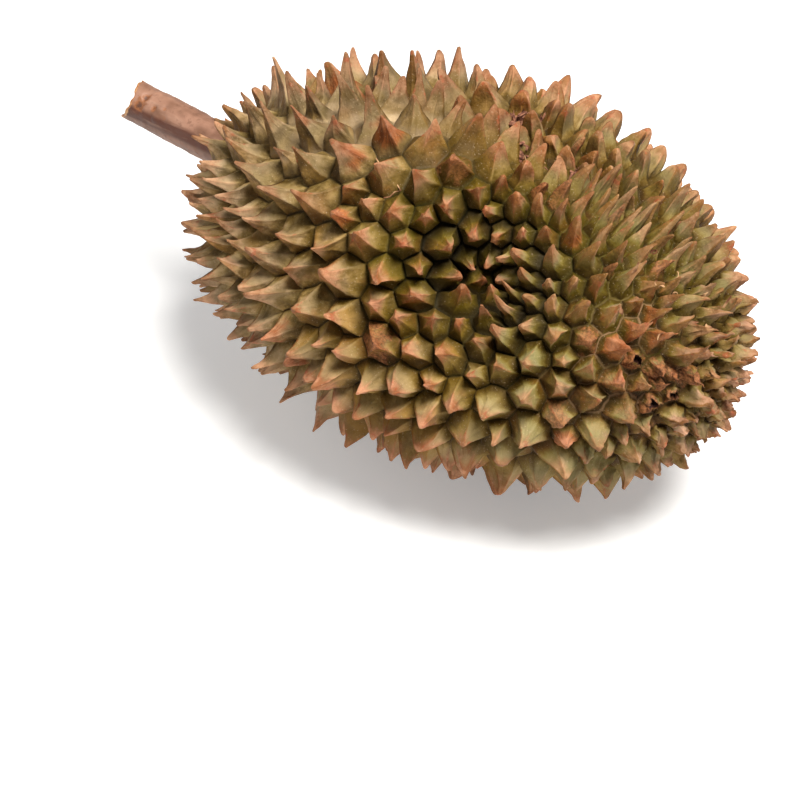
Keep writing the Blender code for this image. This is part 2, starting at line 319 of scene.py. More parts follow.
def nearness(points, along, degrees, width):
    """1 at the place so far along the axis and so far round, and less the farther off, an (n,) array."""
    across = HALF_WIDTH * math.sqrt(1.0 - (along / HALF_LENGTH) ** 2)
    turn = math.radians(degrees)
    away = np.linalg.norm(points - (along, -across * math.cos(turn), across * math.sin(turn)), axis=1) / width
    return np.exp(-(away**2) / 2)


def body_points(directions):
    """Points on the body for unit directions, an (n, 3) array each."""
    outline = np.interp(np.arccos(np.clip(-directions[:, 0], -1.0, 1.0)), POLAR, OUTLINE)
    turn = np.arctan2(directions[:, 2], -directions[:, 1])
    radius = HALF_WIDTH * np.sin(outline)
    for degrees, depth, width in GROOVES:
        away = (turn - math.radians(degrees) + math.pi) % (2 * math.pi) - math.pi
        radius = radius - depth * np.sin(outline) ** 1.5 * np.exp(-((away / math.radians(width)) ** 2))
    points = np.stack([-HALF_LENGTH * np.cos(outline), -radius * np.cos(turn), radius * np.sin(turn)], axis=1)
    outward = unit(points * [(HALF_WIDTH / HALF_LENGTH) ** 2, 1.0, 1.0])
    offset = np.zeros(len(points))
    for along, degrees, height, width in SWELLINGS:
        offset += height * nearness(points, along, degrees, width)
    return points + outward * offset[:, None]


def body_normals(directions):
    """Outward unit normals of the body there, from a small step each way."""
    helper = np.where(np.abs(directions[:, :1]) > 0.9, [[0.0, 1.0, 0.0]], [[1.0, 0.0, 0.0]])
    first = unit(np.cross(directions, helper))
    second = np.cross(directions, first)
    step = 0.02
    slopes = [
        body_points(unit(directions + step * way)) - body_points(unit(directions - step * way))
        for way in (first, second)
    ]
    return unit(np.cross(*slopes))


def spacing_at(points):
    """The least distance from each of those points to the next spine."""
    share = (points[:, 0] / HALF_LENGTH + 1.0) / 2
    spacing = SPACING * np.minimum(
        STEM_END_SPACING + (1.0 - STEM_END_SPACING) * np.clip(share / END_TAPER, 0.0, 1.0),
        BLOSSOM_END_SPACING + (1.0 - BLOSSOM_END_SPACING) * np.clip((1.0 - share) / END_TAPER, 0.0, 1.0),
    )
    for along, degrees, closer, width in FINE_PATCHES:
        spacing *= 1.0 - closer * nearness(points, along, degrees, width)
    return spacing


def spine_sites(random):
    """Unit directions of the spines: places tried in a random order, and kept where no kept one is too close.

    The first site is the seat of the stem, and the spines keep clear of it.
    """
    total = np.cumsum(ARC * np.sin(OUTLINE))
    places = (np.arange(CANDIDATES) + 0.5) / CANDIDATES * total[-1]
    polar = np.interp(np.interp(places, total, OUTLINE), OUTLINE, POLAR)
    directions = directions_at(polar, np.arange(CANDIDATES) * GOLDEN_ANGLE)
    seat_polar = np.interp(math.asin(STEM_RISE / HALF_WIDTH), OUTLINE, POLAR)
    seat = directions_at(seat_polar, math.pi / 2)[None]
    points = body_points(directions)
    spacing = spacing_at(points)
    from_seat = np.linalg.norm(points - body_points(seat), axis=1)
    kept = []
    for k in random.permutation(CANDIDATES):
        near = np.linalg.norm(points[kept] - points[k], axis=1) < spacing[k]
        if from_seat[k] > SEAT_RIM * SEAT_CLEAR and not near.any():
            kept.append(k)
    return np.vstack([seat, directions[kept]])


def cells_round(sites):
    """The corners of the cells round the sites, as unit directions, and each cell's ring of corners."""
    hull = bmesh.new()
    for site in sites:
        hull.verts.new(site)
    bmesh.ops.convex_hull(hull, input=hull.verts[:])
    bmesh.ops.recalc_face_normals(hull, faces=hull.faces[:])
    hull.faces.index_update()
    corners = unit(np.array([face.calc_center_median() for face in hull.faces]))
    rings = []
    for vert in hull.verts:
        loop = vert.link_loops[0]
        ring = []
        for _ in vert.link_faces:
            ring.append(loop.face.index)
            loop = loop.link_loop_prev.link_loop_radial_next
        rings.append(ring)
    hull.free()
    return corners, rings


def relaxed(sites):
    """The sites moved to the middle of their cells, but for the stem's, which stays."""
    corners, rings = cells_round(sites)
    middles = unit(np.array([corners[ring].mean(axis=0) for ring in rings]))
    middles[0] = sites[0]
    return middles


def tightest_closing(feet, normals, rings):
    """How fast each spine's tip closes up on the nearest of its neighbours' tips, per metre of height."""
    closing = np.zeros(len(feet))
    corner_cells = {}
    for cell, ring in enumerate(rings):
        for corner in ring:
            corner_cells.setdefault(corner, []).append(cell)
    for cells in corner_cells.values():
        for one in cells:
            for other in cells:
                if one != other:
                    apart = feet[other] - feet[one]
                    rate = (normals[one] - normals[other]) @ apart / (apart @ apart)
                    closing[one] = max(closing[one], rate)
    return closing


def spine_tips(feet, normals, sizes, limits, random):
    """The tips of all the spines: up along the normal, lying over in places, and each astray a little."""
    ratio = (SPINE_HEIGHT - HEIGHT_FALL * feet[:, 0] / HALF_LENGTH) * (HEIGHT_CELL / sizes) ** SLENDERNESS
    height = np.minimum(np.minimum(sizes * ratio, TALLEST), limits)
    height *= random.normal(1.0, HEIGHT_SPREAD, len(feet))
    for along, degrees, share, width in SHORTER:
        height *= 1.0 - share * nearness(feet, along, degrees, width)
    reach = normals * height[:, None]
    for along, degrees, way, width in LEANING:
        reach += np.outer(height * nearness(feet, along, degrees, width), way)
    return feet + reach + random.normal(0.0, 1.0, feet.shape) * LEAN * sizes[:, None]


def husk_plan():
    """Every cell's ring, foot and tip, about the body's centre, drawn at random in the CAD's order."""
    random = np.random.default_rng(SEED)
    sites = relaxed(spine_sites(random))
    corners, rings = cells_round(sites)
    points = body_points(corners)
    seat = points[rings[0]]
    seat_x = seat[:, 0].max()
    middle = np.array([0.0, STEM_RISE])
    points[rings[0], 0] = seat_x
    points[rings[0], 1:] = middle + unit(seat[:, 1:] - middle) * SEAT_RIM
    feet = np.array([points[ring].mean(axis=0) for ring in rings])
    normals = body_normals(sites)
    sizes = np.array([math.sqrt(ring_area(points[ring])) for ring in rings])
    limits = CROWDING / np.maximum(tightest_closing(feet, normals, rings), 1.0)
    return {
        "points": points,
        "corner_normals": body_normals(corners),
        "rings": rings,
        "feet": feet,
        "tips": spine_tips(feet, normals, sizes, limits, random),
        "normals": normals,
        "seat_x": seat_x,
    }


def ring_area(points):
    """The area of a closed ring of points, nearly flat."""
    arms = points - points.mean(axis=0)
    return np.linalg.norm(np.cross(arms, np.roll(arms, -1, axis=0)).sum(axis=0)) / 2


def link(name, data):
    """A new object of that data, put into the scene."""
    obj = bpy.data.objects.new(name, data)
    bpy.context.scene.collection.objects.link(obj)
    return obj


def object_of(name, mesh):
    """A new object of that bmesh."""
    data = bpy.data.meshes.new(name)
    mesh.to_mesh(data)
    mesh.free()
    return link(name, data)


def add_values(mesh, values):
    """Gives the mesh's points those named numbers, which its material reads."""
    for label, numbers in values.items():
        layer = mesh.attributes.new(label, "FLOAT", "POINT")
        layer.data.foreach_set("value", numbers.astype(np.float32))


# ======================================================================== the fine husk


def region(points, patches):
    """How far each point is inside a region that is made of round patches, from 0 to 1."""
    total = np.zeros(len(points))
    for along, degrees, strength, width in patches:
        total += strength * nearness(points, along, degrees, width)
    return np.clip(total, 0.0, 1.0)


def ramp(values, low, high):
    """0 below low, 1 above high, and straight between."""
    return np.clip((values - low) / (high - low), 0.0, 1.0)


def spine_characters(plan, random):
    """What each spine is like: its fullness, hook, worn tip and colours, from its place and from chance."""
    feet = plan["feet"]
    count = len(feet)
    buds = region(feet, BUDS)
    fingers = region(feet, FINGERS)
    blades = region(feet, BLADES)
    blossom = region(feet, BLOSSOM_END)
    scabby = region(feet, SCABBY)
    pit = region(feet, DIMPLE)
    stemward = ramp(-feet[:, 0], *STEMWARD)
    turn = np.degrees(np.arctan2(feet[:, 2], -feet[:, 1]))
    far_side = ramp(turn, *FAR_SIDE[:2]) * ramp(-turn, -FAR_SIDE[3], -FAR_SIDE[2])
    broken = np.zeros(count)
    for along, degrees in BROKEN:
        broken[np.argmax(nearness(feet, along, degrees, 0.01))] = 1.0
    hurt = random.random(count) < HURT_CHANCE + 0.45 * scabby
    power = 1.14 + 0.30 * stemward - 0.42 * buds - 0.24 * fingers - 0.10 * blades - 0.20 * pit
    power += 0.24 * region(feet, HORNS) - 0.12 * far_side + random.normal(0.0, 0.08, count)
    hook = random.normal(0.0, 0.10, (count, 3)) * (1.0 + 1.3 * blossom[:, None])
    hook += stemward[:, None] * [[-0.14, 0.0, 0.16]] + blades[:, None] * [[0.30, 0.18, 0.28]]
    tip = random.uniform(*TIP_RADIUS, count)
    tip += 0.0005 * fingers + 0.0006 * buds - 0.0003 * blossom + 0.0004 * far_side
    dent = 0.12 - 0.12 * buds - 0.04 * region(feet, FLAT_LOW) + random.normal(0.0, 0.03, count)
    squash = 0.30 * blades + 0.25 * fingers + random.normal(0.0, 0.06, count)
    return {
        "power": np.clip(power, 0.66, 1.70),
        "hook": hook,
        "tip": np.clip(tip * (1.0 - 0.4 * blades), *TIP_RADIUS_LIMITS),
        "dent": np.clip(dent, 0.0, 0.22),
        "squash": np.clip(squash, -0.1, 0.45),
        "short": np.where(hurt, random.uniform(0.80, 0.98, count), 1.0),
        "sides": random.choice(SIDES, count),
        "gap": np.clip(0.52 * pit + 0.16 * fingers + 0.12 * blades, 0.0, 0.55),
        "soft": 0.40 * buds,
        "pit": pit,
        "broken": broken,
        "tone": random.random(count),
        "hurt": np.clip(hurt * random.uniform(0.5, 1.0, count) + 0.4 * scabby + broken, 0.0, 1.0),
        "rust": np.clip(
            region(feet, RUSTY) + (random.random(count) < RUST_CHANCE) * random.uniform(0.4, 0.8, count),
            0.0,
            1.0,
        ),
        "pale": np.clip(stemward * (1.0 - 0.65 * far_side) + 0.30 * far_side, 0.0, 1.0),
        "ragged": blossom,
        "green": np.clip(region(feet, GREEN) + 0.10 * ramp(feet[:, 0], 0.0, 0.1), 0.0, 1.0),
        "sage": region(feet, SAGE),
        "cream": region(feet, CREAM),
        "hollow": broken,
        "net": region(feet, NET),
        "shade_patch": region(feet, SHADE_PATCHES),
    }


def rim_of_cells(plan):
    """The points along every cell's rim, shared by the cells on both sides, and each cell's ring of them.

    Returns the points, the outward normals there, the rings, and how near a ridge each point of a ring is.
    """
    points = list(plan["points"])
    normals = list(plan["corner_normals"])
    between = {}
    rims = []
    ridges = []
    for ring in plan["rings"]:
        rim = []
        ridge = []
        for one, other in zip(ring, ring[1:] + ring[:1]):
            low, high = min(one, other), max(one, other)
            if (low, high) not in between:
                long_edge = np.linalg.norm(points[high] - points[low]) > LONG_EDGE
                between[low, high] = []
                for stop in LONG_STOPS if long_edge else SHORT_STOPS:
                    between[low, high].append(len(points))
                    points.append(points[low] * (1 - stop) + points[high] * stop)
                    normals.append(normals[low] * (1 - stop) + normals[high] * stop)
            inner = between[low, high] if one == low else between[low, high][::-1]
            rim += [one, *inner]
            ridge += [1.0] + ([0.5, 0.0, 0.5] if len(inner) == 3 else [0.2])
        rims.append(rim)
        ridges.append(np.array(ridge))
    return np.array(points), unit(np.array(normals)), rims, ridges


def main_corners(flat, corners, count):
    """That many corners of a flat ring: the ones that cut off the least area go first."""
    kept = list(corners)
    while len(kept) > count:
        areas = []
        for i, corner in enumerate(kept):
            before, after = flat[kept[i - 1]], flat[kept[(i + 1) % len(kept)]]
            one, two = flat[corner] - before, after - before
            areas.append(abs(one[0] * two[1] - one[1] * two[0]))
        del kept[int(np.argmin(areas))]
    return kept


def few_sided(flat, kept):
    """How far out each point of a flat ring comes when it has only those corners, over what it was."""
    shares = np.ones(len(flat))
    for i, corner in enumerate(kept):
        start, end = flat[corner], flat[kept[(i + 1) % len(kept)]]
        side = end - start
        k = corner
        while k != kept[(i + 1) % len(kept)]:
            facing = flat[k][0] * side[1] - flat[k][1] * side[0]
            if facing > 1e-9:
                shares[k] = (start[0] * side[1] - start[1] * side[0]) / facing
            k = (k + 1) % len(flat)
    return np.clip(shares, 0.55, 1.3)


def fine_spine(foot, tip, normal, character, rim, ridge, random):
    """The rings of points up one spine, and its tip. Also, for the points of a ring, how near a main ridge
    they are, and how far the side that they are on faces the way of the painted light and shade.

    Its sides are flat or dented between a few main ridges, and it is curved, and worn at the tip. A broken
    spine's rings turn back down inside it from where it broke off.
    """
    reach = (tip - foot) * character["short"]
    length = np.linalg.norm(reach)
    hook = character["hook"] * length
    arms = rim - foot
    across = unit(np.cross(normal, SIDE_WAY))
    flat = np.stack([arms @ across, arms @ np.cross(normal, across)], axis=1)
    kept = main_corners(flat, np.flatnonzero(ridge == 1.0), character["sides"])
    shares = few_sided(flat, kept)
    shares /= shares.mean() ** 0.6
    ridge = ridge * 0.3
    for corner in kept:
        ridge[corner] = 1.0
        for beside in (corner - 1, (corner + 1) % len(rim)):
            ridge[beside] = max(ridge[beside], 0.4)
    # painted light and shade: how far each side between main ridges faces the painted light's way, with some
    # chance added
    light_facing = np.zeros(len(rim))
    for i, corner in enumerate(kept):
        end = kept[(i + 1) % len(kept)]
        facing = unit(arms[corner] + arms[end]) @ PAINTED_LIGHT_WAY + random.normal(0.0, 0.35)
        light_facing[np.arange(corner, end if end > corner else end + len(rim)) % len(rim)] = facing
    radius = np.linalg.norm(arms, axis=1).mean()
    round_arms = unit(arms) * radius
    flatten = np.array([1.0 - character["squash"], 1.0, 1.0])
    wave = random.uniform(0.0, 2 * math.pi, 2)
    turn = np.arange(len(rim)) / len(rim) * 2 * math.pi
    uneven = 0.04 * np.sin(2 * turn + wave[0]) + 0.03 * np.sin(3 * turn + wave[1])
    torn = random.normal(0.0, 0.09, len(rim))
    rings = []
    for height in LEVELS:
        below_tip = min((1.0 - height) * length / character["tip"], 1.0)
        dome = character["tip"] / radius * math.sqrt(1.0 - (1.0 - below_tip) ** 2)
        width = (1.0 - height) ** character["power"] + dome * min(height * 1.4, 1.0) ** 2
        width *= 1.0 - character["gap"] * min(height / 0.15, 1.0)
        arch = math.sin(math.pi * height**0.8)
        few = (0.9 - character["soft"]) * min(height / 0.30, 1.0)
        smooth = max(height - 0.6, 0.0) / 0.4 * 0.6
        shaped = arms * (1.0 - few + few * shares)[:, None] * (1.0 - smooth) + round_arms * smooth
        shaped = shaped * (1.0 - height + height * flatten)
        swell = 1.0 + 0.04 * arch * (ridge == 1.0) - (character["dent"] * (1.0 - ridge) - uneven) * arch
        at = height
        if character["broken"] and height > BREAK_AT:
            at = BREAK_AT - (height - BREAK_AT) * 0.9
        rise = np.full(len(rim), at) + torn * arch * character["broken"]
        curve = height**2.4 - 0.55 * height
        rings.append(foot + shaped * (width * swell)[:, None] + np.outer(rise, reach) + hook * curve)
    return rings, foot + reach * (0.05 if character["broken"] else 1.0) + hook * 0.45, ridge, light_facing


def jitter(points, size, scale, seed):
    """The points moved by smooth noise: up to about size, in lumps of about scale."""
    moved = np.empty_like(points)
    shift = Vector((seed, seed * 0.7, -seed))
    for k, point in enumerate(points):
        moved[k] = noise.noise_vector(Vector(point) / scale + shift)
    return points + moved * size


def grain_of(plan, verts, owners):
    """A place for each point in which noise runs in streaks from a spine's foot to its tip."""
    axes = plan["normals"][owners]
    away = verts - plan["feet"][owners]
    up = (away * axes).sum(axis=1)
    flat = away - axes * up[:, None]
    across = unit(np.cross(axes, SIDE_WAY))
    turn = np.arctan2((flat * np.cross(axes, across)).sum(axis=1), (flat * across).sum(axis=1))
    return np.stack([np.cos(turn) * 1.6 + owners * 3.1, np.sin(turn) * 1.6, up / 0.020], axis=1)


def husk_pieces(plan, shift):
    """The fine husk as two objects that meet along creases, with attributes that their material reads."""
    random = np.random.default_rng(LOOKS_SEED)
    noise.seed_set(LOOKS_SEED)  # without this, noise_vector is seeded by the clock and differs each run
    characters = spine_characters(plan, random)
    rim_points, rim_normals, rims, ridges = rim_of_cells(plan)
    depth = CREASE_DEPTH + DIMPLE_CREASE * region(rim_points, DIMPLE) - RAISED_NET * region(rim_points, NET)
    depth[rims[0]] = 0.0
    total = len(rim_points)
    parts = [rim_points - rim_normals * depth[:, None]]
    rows = {label: [np.zeros(total)] for label in ("rise", "ridge", "light_facing")}
    owners = [np.zeros(total, int)]
    for k, rim in enumerate(rims):
        owners[0][rim] = k
    faces = ([], [])

    def add_points(points, owner, *values):
        """Adds a ring's points, or a tip, with the spine that they are on and their values in the rows."""
        parts.append(points)
        owners.append(np.full(len(points), owner))
        for row, value in zip(rows.values(), values):
            row.append(np.full(len(points), value))

    for k in range(1, len(rims)):
        size = len(rims[k])
        character = {name: values[k] for name, values in characters.items()}
        foot, top, normal = plan["feet"][k], plan["tips"][k], plan["normals"][k]
        rim = rim_points[rims[k]]
        rings, tip, ridge, light_facing = fine_spine(foot, top, normal, character, rim, ridges[k], random)
        side = faces[int(foot[1] > 0.0)]
        after = np.roll(np.arange(size), -1)
        below = np.array(rims[k])
        for height, ring in zip(LEVELS, rings):
            add_points(ring, k, height, ridge, light_facing)
            above = total + np.arange(size)
            total += size
            side += np.stack([below, below[after], above[after], above], axis=1).tolist()
            below = above
        add_points(tip[None], k, 1.0, 1.0, 0.0)
        side += [(below[i], below[after[i]], total) for i in range(size)]
        total += 1

    verts = np.vstack(parts)
    loose = np.ones(len(verts), bool)
    loose[rims[0]] = False
    verts[loose] = jitter(verts[loose], *LUMPS, 3.0)
    ragged = region(verts, BLOSSOM_END)[loose, None]
    verts[loose] = jitter(verts[loose], ROUGHNESS[0] + RAGGEDNESS * ragged, ROUGHNESS[1], 9.0)
    seat_verts, seat_faces = seat_of_stem(plan["seat_x"], rims[0], rim_points, total)
    verts = np.vstack([verts, seat_verts])
    add_points(seat_verts, 0, 0.0, 0.0, 0.0)
    faces[0].extend(seat_faces)
    owners = np.concatenate(owners)
    values = {label: characters[label][owners] for label in PAINTED}
    values.update((label, np.concatenate(row)) for label, row in rows.items())
    grain = grain_of(plan, verts, owners)
    verts += shift
    verts[:, 2] = np.maximum(verts[:, 2], 0.0)
    return [skin(name, verts, side, values, grain) for name, side in zip(("husk_front", "husk_back"), faces)]


def skin(name, verts, faces, values, grain):
    """An object of those faces and their own points alone, with the attributes."""
    used = np.zeros(len(verts), bool)
    for face in faces:
        used[list(face)] = True
    number = np.cumsum(used) - 1
    mesh = bpy.data.meshes.new(name)
    mesh.from_pydata(verts[used].tolist(), [], [tuple(int(number[v]) for v in face) for face in faces])
    add_values(mesh, {label: numbers[used] for label, numbers in values.items()})
    layer = mesh.attributes.new("grain", "FLOAT_VECTOR", "POINT")
    layer.data.foreach_set("vector", grain[used].ravel().astype(np.float32))
    mesh.shade_smooth()
    return link(name, mesh)


def seat_of_stem(seat_x, rim, rim_points, start):
    """The plain seat that the stem stands in: a lip round the stem, a bore and its floor."""
    size = len(rim)
    turns = np.arctan2(rim_points[rim][:, 2] - STEM_RISE, rim_points[rim][:, 1])
    circle = np.stack([np.zeros(size), np.cos(turns), np.sin(turns)], axis=1)
    middle = np.array([seat_x, 0.0, STEM_RISE])
    verts = []
    faces = []
    below = list(rim)
    for ring, (radius, depth) in enumerate(SEAT_PROFILE):
        verts.append(middle + circle * radius + [depth, 0.0, 0.0])
        above = [start + ring * size + i for i in range(size)]
        faces += [(below[i], below[(i + 1) % size], above[(i + 1) % size], above[i]) for i in range(size)]
        below = above
    faces.append(tuple(below))
    return np.vstack(verts), faces


# ======================================================================== the stem


def past(share, start):
    """How far a share is past that start, from 0 there to 1 at a share of 1."""
    return max(share - start, 0.0) / (1.0 - start)


def stem_middle(seat_x, share):
    """The stem's middle at that share of its reach."""
    return Vector((seat_x - share * STEM_REACH, 0.0, STEM_RISE + STEM_BEND * share**2))


def bark_point(share, from_seat, middle, turn):
    """A point of the bark, so far from the seat and so far round: lumpy, grained, and torn at the end."""
    out = Vector((0.0, math.cos(turn), math.sin(turn)))
    swell = 1.0 + STEM_SWELL * math.sin(math.pi * min(share, 1.0))
    point = middle + out * STEM_RADIUS * swell * (1.0 + STEM_LIP * past(share, STEM_LIP_FROM))
    if from_seat <= 0.0:
        return point
    relief = noise.noise(point / 0.016 + Vector((4.0, 0.0, 0.0))) * 0.0008
    relief += noise.noise(Vector((point.x / 0.030, out.y * 4.0, out.z * 4.0))) * 0.00018
    relief += noise.noise(point / 0.0035) * 0.00022
    point += out * min(from_seat / STEM_RELIEF_FROM, 1.0) * relief
    ragged = noise.noise(Vector((9.0, out.y * 2.4, out.z * 2.4)))
    point.x -= ragged * STEM_TORN * past(share, STEM_TORN_FROM)
    facing = max(math.cos(turn - STEM_BREAK_TURN), 0.0)
    spur = math.exp(-(((turn - STEM_SPUR_TURN) / STEM_SPUR_WIDTH) ** 2))
    point.x += (STEM_BREAK * facing**1.2 - STEM_SPUR * spur) * past(share, STEM_BREAK_FROM) ** 1.3
    return point


def press_pits(points, seat_x):
    """Presses the pits into the bark's points, and returns how bare each point is."""
    bare = np.zeros(len(points))
    for share, turn, size, depth in STEM_PITS:
        out = Vector((0.0, math.cos(turn), math.sin(turn)))
        spot = stem_middle(seat_x, share) + out * STEM_RADIUS * 1.05
        for k, point in enumerate(points):
            away = (point - spot).length / size
            if away < 3.0:
                pit = math.exp(-(away**2) / 2)
                point -= out * depth * (pit - PIT_LIP * math.exp(-((away - PIT_LIP_AT) ** 2) * 3.0))
                bare[k] += max(depth, 0.0) / BARE_PIT * pit
    return bare


def ring_faces(below, above):
    """The faces between two rings of point numbers."""
    return list(zip(below, above, above[1:] + above[:1], below[1:] + below[:1]))


def stem_piece(plan, shift):
    """The stem's bark: a slightly bent tube with lumps and pits, flared and torn at the cut end."""
    start_x = plan["seat_x"] + SEAT_DEPTH - FIT_GAP
    length = STEM_REACH + SEAT_DEPTH - FIT_GAP
    stations = np.linspace(0.0, 1.0, STEM_RINGS)
    turns = np.arange(STEM_SIDES) / STEM_SIDES * 2 * math.pi
    verts = []
    for along in stations:
        from_seat = along * length - SEAT_DEPTH
        share = max(from_seat / STEM_REACH, 0.0)
        middle = stem_middle(plan["seat_x"], share)
        middle.x = start_x - along * length
        verts += [bark_point(share, from_seat, middle, turn) for turn in turns]
    bare = press_pits(verts, plan["seat_x"])

    rings = [list(range(first, first + STEM_SIDES)) for first in range(0, len(verts), STEM_SIDES)]
    faces = []
    for below, above in zip(rings, rings[1:]):
        faces += ring_faces(below, above)
    faces.append(tuple(rings[0]))
    rim = below = rings[-1]
    cut_middle = sum((verts[k] for k in rim), Vector()) / STEM_SIDES
    for radius_share, sink in CUT_END_RINGS:
        above = list(range(len(verts), len(verts) + STEM_SIDES))
        for k in rim:
            place = cut_middle + (verts[k] - cut_middle) * radius_share
            verts.append(place + Vector((sink + noise.noise(place / 0.0025) * 0.0006, 0.0, 0.0)))
        faces += ring_faces(below, above)
        below = above
    faces.append(tuple(reversed(below)))

    mesh = bpy.data.meshes.new("stem_bark")
    mesh.from_pydata([tuple(point + Vector(shift)) for point in verts], [], faces)
    cut_points = len(verts) - len(bare)
    round_at = np.array([math.atan2(point.z - STEM_RISE, point.y) % (2 * math.pi) for point in verts])
    values = {
        "cut": np.append(np.repeat(ramp(stations, 0.955, 1.01), STEM_SIDES), np.ones(cut_points)),
        # a dark band of painted shade along one side of the stem
        "painted_shade": np.exp(-(((round_at - STEM_SHADE_TURN) / STEM_SHADE_WIDTH) ** 2)),
        "worn": np.append(bare, np.zeros(cut_points)),
    }
    add_values(mesh, values)
    mesh.shade_smooth()
    return link("stem_bark", mesh)


# ======================================================================== crumbs between the spines


def crumb_piece(plan, shift):
    """Dry crumbs caught between the spines, in a few clumps, as one object of small shards."""
    random = np.random.default_rng(LOOKS_SEED + 2)
    mesh = bmesh.new()
    points = plan["points"]
    for along, degrees, count, spread in CRUMB_CLUMPS:
        nearest = int(np.argmax(nearness(points, along, degrees, spread)))
        out = plan["corner_normals"][nearest]
        for _ in range(count):
            size = random.uniform(*CRUMB_SIZE)
            away = random.normal(0.0, spread, 3)
            away -= out * (away @ out)
            height = abs(random.normal(0.0, CRUMB_RISE)) + CRUMB_LOWEST
            centre = Vector(points[nearest] + away + out * height + shift)
            lump = bmesh.ops.create_icosphere(mesh, subdivisions=1, radius=size)["verts"]
            stretch = Vector(random.uniform(*CRUMB_STRETCH))
            seed = Vector(random.uniform(0.0, 50.0, 3))
            turned = Quaternion(unit(random.normal(0.0, 1.0, 3)), random.uniform(0.0, math.pi))
            for vert in lump:
                bumpy = 1.0 + CRUMB_UNEVEN * noise.noise(vert.co / size * 1.6 + seed)
                vert.co = centre + turned @ (vert.co * stretch) * bumpy
    return object_of("crumbs", mesh)


def add_strip(mesh, stations, across, over, width, thickness):
    """A closed flat strip in the mesh: along the stations, as wide and thick at each as given."""
    rings = []
    for at, side, up, wide, thick in zip(stations, across, over, width, thickness):
        corners = ((-1, -1), (1, -1), (1, 1), (-1, 1))
        rings.append([mesh.verts.new(at + side * wide / 2 * a + up * thick / 2 * b) for a, b in corners])
    for before, after in zip(rings, rings[1:]):
        for i in range(4):
            mesh.faces.new((before[i], before[(i + 1) % 4], after[(i + 1) % 4], after[i]))
    mesh.faces.new(rings[0][::-1])
    mesh.faces.new(rings[-1])


def scrap_piece(plan, shift):
    """Curled dry scraps and a strand, as one object."""
    random = np.random.default_rng(LOOKS_SEED + 3)
    mesh = bmesh.new()
    feet = plan["feet"]
    for along, degrees, count, start in SCRAPS:
        for cell in np.argsort(-nearness(feet, along, degrees, 0.01))[:count]:
            reach = plan["tips"][cell] - feet[cell]
            heading = Vector(unit(unit(reach) + random.normal(0.0, SCRAP_ASTRAY, 3)))
            side = heading.cross(Vector(unit(random.normal(0.0, 1.0, 3)))).normalized()
            at = Vector(feet[cell] + reach * start + random.normal(0.0, SCRAP_OFF, 3) + shift)
            curl = Quaternion(side, random.normal(0.0, 1.0) * SCRAP_CURL / SCRAP_STEPS)
            twist = random.normal(0.0, SCRAP_TWIST)
            step = SCRAP_LENGTH * random.uniform(*SCRAP_SHARE) / SCRAP_STEPS
            stations, across, over = [], [], []
            for _ in range(SCRAP_STEPS):
                stations.append(at)
                across.append(side)
                over.append(heading.cross(side).normalized())
                at = at + heading * step
                heading = (curl @ heading).normalized()
                side = (Quaternion(heading, twist) @ side).normalized()
            width = SCRAP_WIDTH * random.uniform(*SCRAP_SHARE) * np.linspace(1.0, 0.25, SCRAP_STEPS)
            width *= random.uniform(0.7, 1.3, SCRAP_STEPS)
            add_strip(mesh, stations, across, over, width, [SCRAP_THICKNESS] * SCRAP_STEPS)
    add_thread(mesh, plan, shift)
    return object_of("scraps", mesh)


def with_stops(vectors):
    """Each vector but the last, followed by those at the strand's stops between it and the next."""
    pairs = zip(vectors, vectors[1:])
    return [one * (1 - stop) + other * stop for one, other in pairs for stop in THREAD_STOPS]


def add_thread(mesh, plan, shift):
    """A fine strand that lies over the creases between some spines."""
    corners = [int(np.argmax(nearness(plan["points"], *place, 0.004))) for place in THREAD]
    outs = [Vector(plan["corner_normals"][k]) for k in corners]
    stations = [Vector(plan["points"][k] + shift) + out * THREAD_RISE for k, out in zip(corners, outs)]
    places = with_stops(stations)
    over = [out.normalized() for out in with_stops(outs)]
    across = []
    for i, out in enumerate(over):
        heading = places[min(i + 1, len(places) - 1)] - places[max(i - 1, 0)]
        across.append(heading.cross(out).normalized())
    sway = [side * math.sin(2.1 * i) * THREAD_SWAY for i, side in enumerate(across)]
    places = [place + aside for place, aside in zip(places, sway)]
    size = [THREAD_RADIUS * 2] * len(places)
    add_strip(mesh, places, across, over, size, size)


# ======================================================================== materials


def srgb(red, green, blue):
    """A colour picked as 0-255 values, as the linear values that a shader takes."""
    linear = []
    for value in (red, green, blue):
        share = value / 255.0
        linear.append(share / 12.92 if share <= 0.04045 else ((share + 0.055) / 1.055) ** 2.4)
    return (*linear, 1.0)


